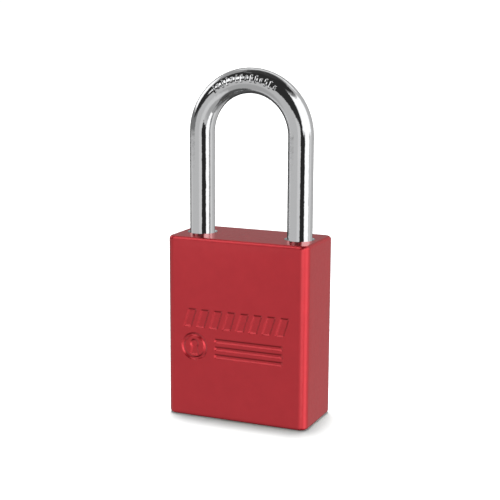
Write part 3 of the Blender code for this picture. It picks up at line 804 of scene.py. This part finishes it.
def shackle_stations():
    """(centre x, centre z, radial x, radial z, crown angle, size) down the bar, heel tip to toe tip."""
    crown_z = SHACKLE_HIGH.z - WIRE_R - LEG_X
    heel_z = SHACKLE_LOW.z
    toe_z = BODY_HIGH.z - TOE_DEPTH
    quarter = math.radians(90)
    rows = [(-LEG_X, heel_z, -1.0, 0.0, -quarter, LEG_TIP_SCALE)]
    rows += [(-LEG_X, z, -1.0, 0.0, -quarter, 1.0) for z in even_steps(heel_z + LEG_TIP, crown_z, LEG_STEP)]
    low, high = TICK_SPAN[0] - TICK_MARGIN, TICK_SPAN[1] + TICK_MARGIN
    angles = even_steps(-quarter, low, CROWN_STEP)
    angles += even_steps(low, high, (high - low) / TICK_STEPS)
    angles += even_steps(high, quarter, CROWN_STEP)
    for angle in angles + [quarter]:
        radial = (math.sin(angle), math.cos(angle))
        rows.append((LEG_X * radial[0], crown_z + LEG_X * radial[1], *radial, angle, 1.0))
    down = even_steps(-crown_z, -toe_z - LEG_TIP, LEG_STEP)[1:]
    rows += [(LEG_X, -z, 1.0, 0.0, quarter, 1.0) for z in down]
    rows.append((LEG_X, toe_z + LEG_TIP, 1.0, 0.0, quarter, 1.0))
    rows.append((LEG_X, toe_z, 1.0, 0.0, quarter, LEG_TIP_SCALE))
    return rows


def shackle_skin():
    """The bent bar, with the ticks stamped in its crown."""
    around = np.linspace(-math.pi, math.pi, WIRE_SIDES, endpoint=False)
    rings = []
    for centre_x, centre_z, radial_x, radial_z, angle, size in shackle_stations():
        radius = np.full(WIRE_SIDES, WIRE_R * size)
        if TICK_SPAN[0] - TICK_MARGIN < angle < TICK_SPAN[1] + TICK_MARGIN:
            reach = LEG_X + WIRE_R * math.sin(TICK_MIDDLE)
            radius -= tick_depth(angle, around, reach)
        out = radius * np.sin(around)
        ahead = -radius * np.cos(around)
        rings.append(np.stack([centre_x + out * radial_x, ahead, centre_z + out * radial_z], axis=1))
    return lofted(rings, "shackle_skin")


def capsule(start, end, radius):
    """The space that a ball sweeps between two points."""
    axis = Vector(end) - Vector(start)
    half = axis.length / 2
    bm = bmesh.new()
    bmesh.ops.create_uvsphere(bm, u_segments=SWEEP_SIDES[0], v_segments=SWEEP_SIDES[1], radius=radius)
    for vert in bm.verts:
        if vert.co.z > MERGE:
            vert.co.z += half
        elif vert.co.z < -MERGE:
            vert.co.z -= half
    middle = [v for v in bm.verts if abs(v.co.z) <= MERGE]
    bmesh.ops.delete(bm, geom=middle, context="VERTS")
    rims = [e for e in bm.edges if e.is_boundary]
    bmesh.ops.bridge_loops(bm, edges=rims)
    bmesh.ops.recalc_face_normals(bm, faces=bm.faces)
    turn = Vector((0, 0, 1)).rotation_difference(axis.normalized()).to_matrix().to_4x4()
    place = Matrix.Translation((Vector(start) + Vector(end)) / 2)
    bmesh.ops.transform(bm, matrix=place @ turn, verts=bm.verts)
    return mesh_from(bm, "capsule")


def ring_groove():
    """A torus that turns the heel leg's round groove."""
    ring_r = LEG_X - BALL_X + HEEL_BALL_TRAVEL
    reach = BALL_R + BALL_GAP
    around, across = SWEEP_SIDES
    bm = bmesh.new()
    verts = []
    for i in range(around):
        turn = 2 * math.pi * i / around
        for j in range(across):
            angle = 2 * math.pi * j / across
            out = ring_r + reach * math.cos(angle)
            height = BALL_Z - LIFT + reach * math.sin(angle)
            verts.append(bm.verts.new((-LEG_X + out * math.cos(turn), out * math.sin(turn), height)))
    for i in range(around):
        near, far = i * across, (i + 1) % around * across
        for j in range(across):
            after = (j + 1) % across
            bm.faces.new((verts[near + j], verts[far + j], verts[far + after], verts[near + after]))
    bmesh.ops.recalc_face_normals(bm, faces=bm.faces)
    return mesh_from(bm, "groove")


def make_shackle():
    """The shackle, notched for the balls and grooved where the heel ball stops its rise."""
    shackle = add_object("shackle_bar", shackle_skin())
    shackle.data.materials.append(chrome())
    for side, travel in ((-1, HEEL_BALL_TRAVEL), (1, TOE_BALL_TRAVEL)):
        shut = (side * BALL_X, 0.0, BALL_Z)
        risen = (side * (BALL_X - travel), 0.0, BALL_Z - LIFT)
        cut(shackle, capsule(shut, risen, BALL_R + BALL_GAP))
    cut(shackle, ring_groove())
    settle(shackle)
    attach(shackle, "shackle")
    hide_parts("shackle")


# ---------------------------------------------------------------- small parts

def small_piece(name, mesh, metal):
    """A piece in one of the small parts' metals."""
    piece = add_object(name, mesh)
    piece.data.materials.append(small_metal(metal))
    return piece


def fit(piece, body, node):
    """Finish a piece and let it ride in its CAD node's place."""
    settle(piece)
    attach(piece, body)
    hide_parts(node)


def full_turn(sides):
    return np.linspace(0.0, 2 * math.pi, sides, endpoint=False)


def level_ring(radii, angles, z, centre_x=0.0):
    """A ring of points at one height, whose radius may change on the way round."""
    x = centre_x + radii * np.cos(angles)
    return np.stack([x, radii * np.sin(angles), np.full_like(angles, z)], axis=1)


def turned(profile, sides=ROUND_SIDES):
    """A closed round form through (radius, height) points, from its low end up."""
    angles = full_turn(sides)
    return lofted([level_ring(radius, angles, z) for radius, z in profile], "turned")


def in_mm(profile, start=0.0, side=1.0):
    """A table of (radius, distance) in millimetres as heights above, or below, a start."""
    return [(radius * MM, start + side * height * MM) for radius, height in profile]


def eased_block(low, high, edge):
    """A box with softened edges."""
    bm = bmesh.new()
    bm.from_mesh(block(low, high))
    bmesh.ops.bevel(bm, geom=bm.edges[:], offset=edge, segments=3, profile=0.5, affect="EDGES")
    return mesh_from(bm, "eased_block")


def pin_height(index):
    return PIN_Z0 + PIN_PITCH * index


def pin_bore(index, low, high):
    return rod(PIN_BORE_R, low, high, (-pin_height(index), 0.0), sides=SMALL_SIDES, turn=ALONG_X)


def shell_ring(inset, z):
    """Once round the barrel and the pin housing on its toe side, drawn in by an inset."""
    radius = SHELL_R - inset
    half = HOUSING_HALF - inset
    start = math.asin(half / radius)
    barrel = np.linspace(start, 2 * math.pi - start, ROUND_SIDES)
    end = np.linspace(-math.pi / 2, math.pi / 2, ROUND_SIDES // 2)
    x = np.concatenate([radius * np.cos(barrel), HOUSING_END_X + half * np.cos(end)])
    y = np.concatenate([radius * np.sin(barrel), half * np.sin(end)])
    return np.stack([x, y, np.full_like(x, z)], axis=1)


def make_shell():
    """Barrel and pin housing in one, bored for the plug, the stacks and the screw."""
    low, high = SHELL_Z
    rows = (
        (SHELL_CHAMFER, low), (0.0, low + SHELL_CHAMFER), (0.0, high - SHELL_CHAMFER), (SHELL_CHAMFER, high),
    )
    shell = small_piece("shell_barrel", lofted([shell_ring(*row) for row in rows], "shell"), "milled_brass")
    flat_low, flat_high = HOUSING_FLAT_Z
    cut(shell, block((HOUSING_FLAT_X, -SHELL_R, flat_low), (HOUSING_FLAT_X + SHELL_R, SHELL_R, flat_high)))
    cut(shell, rod(SHELL_BORE_R, low - CUT_PAST, high + CUT_PAST))
    cut(shell, rod(SCREW_R + GAP, SCREW_Z0 - GAP, high + CUT_PAST, (LEG_X, 0.0), sides=SMALL_SIDES))
    for index in range(len(KEY_PIN_LENGTHS)):
        cut(shell, pin_bore(index, SHELL_BORE_R - CUT_PAST, HOUSING_FLAT_X + CUT_PAST))
    fit(shell, "casing", "cylinder_shell")


def make_plug():
    """The part that the key turns: dished face, stepped keyway, pin bores, clip groove and tail slot."""
    profile = in_mm(PLUG_PROFILE)
    plug = small_piece("plug_core", turned(profile), "turned_brass")
    for step, (low, high) in enumerate(zip(KEYWAY_STEPS, KEYWAY_STEPS[1:])):
        shift = KEYWAY_WARD if step % 2 else -KEYWAY_WARD
        lap = GAP if step else 0.0
        cut(plug, block((low - lap, shift - KEYWAY_HALF, -CUT_PAST), (high, shift + KEYWAY_HALF, KEYWAY_Z)))
    for index in range(len(KEY_PIN_LENGTHS)):
        cut(plug, pin_bore(index, PIN_BORE_X0, PLUG_R + CUT_PAST))
    top = profile[-1][1] + CUT_PAST
    cut(plug, block((-TAIL_SLOT_X, -TAIL_SLOT_Y, TAIL_SLOT_Z), (TAIL_SLOT_X, TAIL_SLOT_Y, top)))
    fit(plug, "plug", "plug")


def make_tailpiece():
    """A flat blade with eased edges and a punched hole."""
    half_x = TAIL_SLOT_X - GAP
    half_y = TAIL_SLOT_Y - GAP
    blade = eased_block((-half_x, -half_y, TAIL_Z[0]), (half_x, half_y, TAIL_Z[1]), GAP)
    tail = small_piece("tail_blade", blade, "stamped_steel")
    hole = rod(TAIL_HOLE_R, -CUT_PAST, CUT_PAST, sides=SMALL_SIDES)
    through = Matrix.Rotation(math.radians(90), 4, "X")
    hole.transform(Matrix.Translation((0.0, 0.0, sum(TAIL_Z) / 2)) @ through)
    cut(tail, hole)
    fit(tail, "plug", "tailpiece")


def make_clip():
    """An open flat ring with rounded edges, round the plug's neck."""
    inner, outer = (CLIP_R[0] + CLIP_EDGE, CLIP_R[1] - CLIP_EDGE)
    low, high = (CLIP_Z[0] + CLIP_EDGE, CLIP_Z[1] - CLIP_EDGE)
    section = []
    for radius, z, start in ((outer, low, -90), (outer, high, 0), (inner, high, 90), (inner, low, 180)):
        for turn in (0, 45, 90):
            angle = math.radians(start + turn)
            section.append((radius + CLIP_EDGE * math.cos(angle), z + CLIP_EDGE * math.sin(angle)))
    radii, heights = np.array(section).T
    rings = []
    for angle in np.linspace(-CLIP_MOUTH / 2, CLIP_MOUTH / 2 - 2 * math.pi, CLIP_STEPS):
        rings.append(np.stack([radii * math.cos(angle), radii * math.sin(angle), heights], axis=1))
    clip = small_piece("clip_ring", lofted(rings, "clip"), "blued_steel")
    fit(clip, "plug", "plug_clip")


def cam_radii(angles):
    """The cam keeps clear of both balls through the whole quarter turn."""
    radii = np.full_like(angles, ACTUATOR_R)
    reach = BALL_R + BALL_GAP
    for turn in np.linspace(0.0, PLUG_TURN, CAM_STEPS + 1):
        for side, travel in ((0.0, TOE_BALL_TRAVEL), (math.pi, HEEL_BALL_TRAVEL)):
            centre = BALL_X - travel * turn / PLUG_TURN
            off = angles + turn - side
            across = centre * np.sin(off)
            limit = centre * np.cos(off) - np.sqrt(np.maximum(reach ** 2 - across ** 2, 0.0))
            near = (np.abs(across) < reach) & (np.cos(off) > 0)
            radii = np.where(near, np.minimum(radii, limit), radii)
    return radii


def make_actuator():
    """A round stem, slotted below for the tailpiece, with a snail cam above it."""
    angles = full_turn(CAM_SIDES)
    stem = np.full_like(angles, ACTUATOR_R)
    cam = cam_radii(angles)
    seat = BALL_Z - CAM_HALF_H
    top = BALL_Z + CAM_HALF_H
    rows = (
        (stem - CAM_CHAMFER, ACTUATOR_Z0), (stem, ACTUATOR_Z0 + CAM_CHAMFER), (stem, seat - CAM_CHAMFER / 2),
        (cam, seat), (cam, top - CAM_CHAMFER), (cam - CAM_CHAMFER, top),
    )
    rings = [level_ring(radii, angles, z) for radii, z in rows]
    actuator = small_piece("cam_spindle", lofted(rings, "cam"), "cast_zinc")
    low = (-TAIL_SLOT_X, -TAIL_SLOT_Y, ACTUATOR_Z0 - CUT_PAST)
    cut(actuator, block(low, (TAIL_SLOT_X, TAIL_SLOT_Y, TAIL_Z[1] + GAP)))
    fit(actuator, "actuator", "actuator")


def make_balls():
    """The two ground balls, which ride on their own bodies."""
    for name, side in (("heel_ball", -1), ("toe_ball", 1)):
        bm = bmesh.new()
        bmesh.ops.create_uvsphere(bm, u_segments=BALL_SIDES[0], v_segments=BALL_SIDES[1], radius=BALL_R)
        bmesh.ops.translate(bm, vec=(side * BALL_X, 0.0, BALL_Z), verts=bm.verts)
        ball = small_piece(f"{name}_ground", mesh_from(bm, "ball"), "ground_steel")
        fit(ball, name, name)


def make_pins():
    """Five stacks: pointed key pins in the plug, spooled driver pins in the housing."""
    key_x1 = PLUG_R - SHEAR_GAP
    low = PLUG_R + SHEAR_GAP
    high = low + DRIVER_PIN_LENGTH
    half = PIN_EDGE + PIN_WAIST
    for index, length in enumerate(KEY_PIN_LENGTHS):
        number = index + 1
        lay = Matrix.Translation((0.0, 0.0, pin_height(index))) @ ALONG_X
        profile = in_mm(PIN_NOSE, key_x1 - length) + in_mm(PIN_EDGE[::-1], key_x1, -1.0)
        mesh = turned(profile, SMALL_SIDES)
        mesh.transform(lay)
        pin = small_piece(f"key_pin_{number}_turned", mesh, "pin_brass")
        fit(pin, f"key_pin_{number}", f"key_pin_{number}")
        mesh = turned(in_mm(half, low) + in_mm(half[::-1], high, -1.0), SMALL_SIDES)
        mesh.transform(lay)
        pin = small_piece(f"driver_pin_{number}_turned", mesh, "pin_steel")
        fit(pin, f"driver_pin_{number}", f"driver_pin_{number}")


def spring(length, radius, wire_radius, turns):
    """A compression spring from height 0 up, its last turn closed at both ends."""
    turned_by = np.linspace(0.0, turns, turns * COIL_STEPS + 1)
    closed = 2 * wire_radius
    low, high = wire_radius, length - wire_radius
    height = np.interp(turned_by, (0, 1, turns - 1, turns), (low, low + closed, high - closed, high))
    angle = 2 * math.pi * turned_by
    centre = np.stack([radius * np.cos(angle), radius * np.sin(angle), height], axis=1)
    ahead = np.gradient(centre, axis=0)
    ahead /= np.linalg.norm(ahead, axis=1)[:, None]
    outward = np.stack([np.cos(angle), np.sin(angle), np.zeros_like(angle)], axis=1)
    across = np.cross(ahead, outward)
    around = full_turn(COIL_SIDES)[:, None]
    rings = []
    for i in range(len(centre)):
        offset = np.cos(around) * outward[i] + np.sin(around) * across[i]
        rings.append(centre[i] + wire_radius * offset)
    return lofted(rings, "spring")


def make_springs():
    """The shackle's spring and the five pin springs, in their CAD nodes' places at rest."""
    low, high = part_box("shackle_spring")
    mesh = spring(high.z - low.z, *SHACKLE_COIL)
    mesh.transform(Matrix.Translation((-LEG_X, 0.0, low.z)))
    fit(small_piece("shackle_coil", mesh, "spring_wire"), "casing", "shackle_spring")
    for index in range(len(KEY_PIN_LENGTHS)):
        node = f"pin_spring_{index + 1}"
        low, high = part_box(node)
        mesh = spring(high.x - low.x, *PIN_COIL)
        mesh.transform(Matrix.Translation((low.x, 0.0, pin_height(index))) @ ALONG_X)
        fit(small_piece(f"{node}_coil", mesh, "spring_wire"), "casing", node)


def make_cover():
    """The strip that closes the pin chambers, staked over each one."""
    low_x = HOUSING_FLAT_X + GAP
    high_x = low_x + COVER_T
    strip = eased_block((low_x, -COVER_HALF, COVER_Z[0]), (high_x, COVER_HALF, COVER_Z[1]), STAKE_DEPTH)
    cover = small_piece("cover_strip", strip, "rolled_brass")
    for index in range(len(KEY_PIN_LENGTHS)):
        place = (-pin_height(index), 0.0)
        low, high = high_x - STAKE_DEPTH, high_x + STAKE_DEPTH
        cut(cover, rod(0.5 * STAKE_R, low, high, place, SMALL_SIDES, ALONG_X, 1.5 * STAKE_R))
    fit(cover, "casing", "spring_cover")


def make_screw():
    """A cap screw with a cut thread, at the bottom of the toe hole."""
    seat = TOE_HOLE_Z + GAP
    angles = full_turn(ROUND_SIDES)
    rings = []
    for z in even_steps(SCREW_Z0, seat, THREAD_STEP):
        turns = (z - SCREW_Z0) / THREAD_PITCH
        root = THREAD_DEPTH * (0.5 + 0.5 * np.cos(2 * math.pi * turns - angles))
        radii = SCREW_R - np.maximum(root, THREAD_DEPTH * (1 - turns))
        rings.append(level_ring(radii, angles, z, LEG_X))
    head = in_mm(SCREW_HEAD, seat)
    rings += [level_ring(radius, angles, z, LEG_X) for radius, z in head]
    screw = small_piece("cap_screw", lofted(rings, "screw"), "plated_steel")
    top = head[-1][1]
    cut(screw, rod(SCREW_SOCKET_R, top - SCREW_SOCKET_DEPTH, top + CUT_PAST, (LEG_X, 0.0), sides=6))
    fit(screw, "casing", "cylinder_screw")


# ---------------------------------------------------------------- all together


make_camera()
make_studio()
make_sun()
make_floor()
block_piece = make_body()
make_body_lights(block_piece)
make_shackle()
make_shell()
make_plug()
make_tailpiece()
make_clip()
make_actuator()
make_balls()
make_pins()
make_springs()
make_cover()
make_screw()
